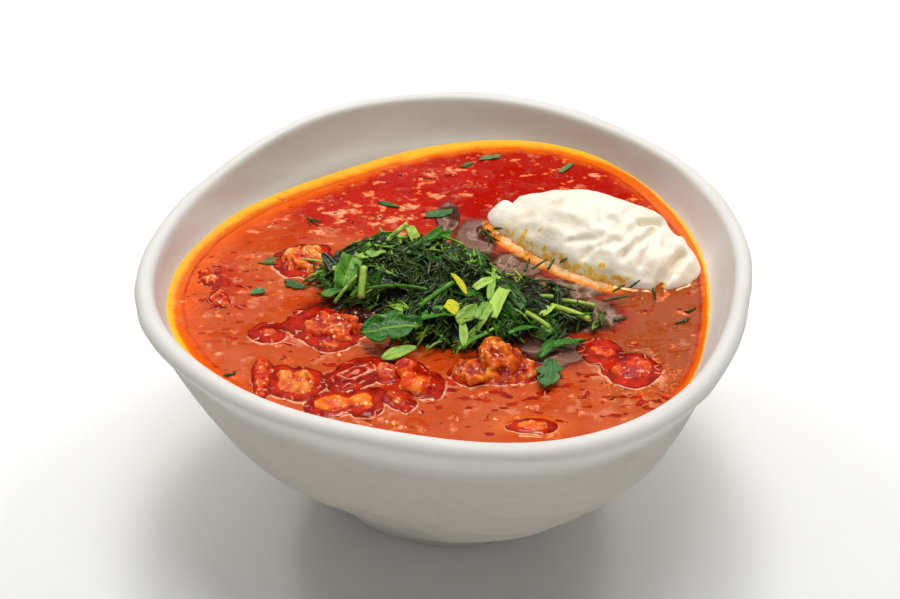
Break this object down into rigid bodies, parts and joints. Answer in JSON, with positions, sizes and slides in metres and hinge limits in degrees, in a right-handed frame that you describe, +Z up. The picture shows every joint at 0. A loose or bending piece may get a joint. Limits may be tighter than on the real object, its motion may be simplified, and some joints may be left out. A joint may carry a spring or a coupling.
{
  "type": "bowl of borscht",
  "caption": "Beetroot soup in a hand-shaped stoneware bowl, with soured cream, a heap of chopped dill and parsley, and vegetables breaking the surface.",
  "frame": {"origin": "the point on the standing surface below the middle of the rim's outline", "axes": "+Z up, +Y across the bowl's longer width, away from the side it is looked at from, +X to the right"},
  "size_m": [0.1673, 0.1737, 0.0877],
  "materials": {
    "glaze": "satin off-white glaze",
    "broth": "wet clear red broth with an orange oil edge",
    "cream": "thick soured cream, soft sheen",
    "herbs": "fresh chopped leaves, partly wet",
    "potato": "wet, stained orange by the broth",
    "carrot": "wet, cooked",
    "tomato": "wet, cooked",
    "beet": "wet, dark red"
  },
  "bodies": {
    "root": {"bowl": "glaze", "soup": "broth", "sour_cream": "cream", "herb_heap": "herbs", "parsley_leaf_front": "herbs", "potato_back": "potato", "potato_front_left": "potato", "bean_front": "potato", "bean_right": "potato", "onion_middle": "potato", "carrot_strip": "carrot", "carrot_middle": "carrot", "carrot_right": "carrot", "tomato_middle": "tomato", "tomato_left": "tomato", "tomato_front": "tomato", "pepper_small": "tomato", "pepper_front": "tomato", "cabbage_shell": "tomato", "beet_strip": "beet"}
  },
  "joints": []
}
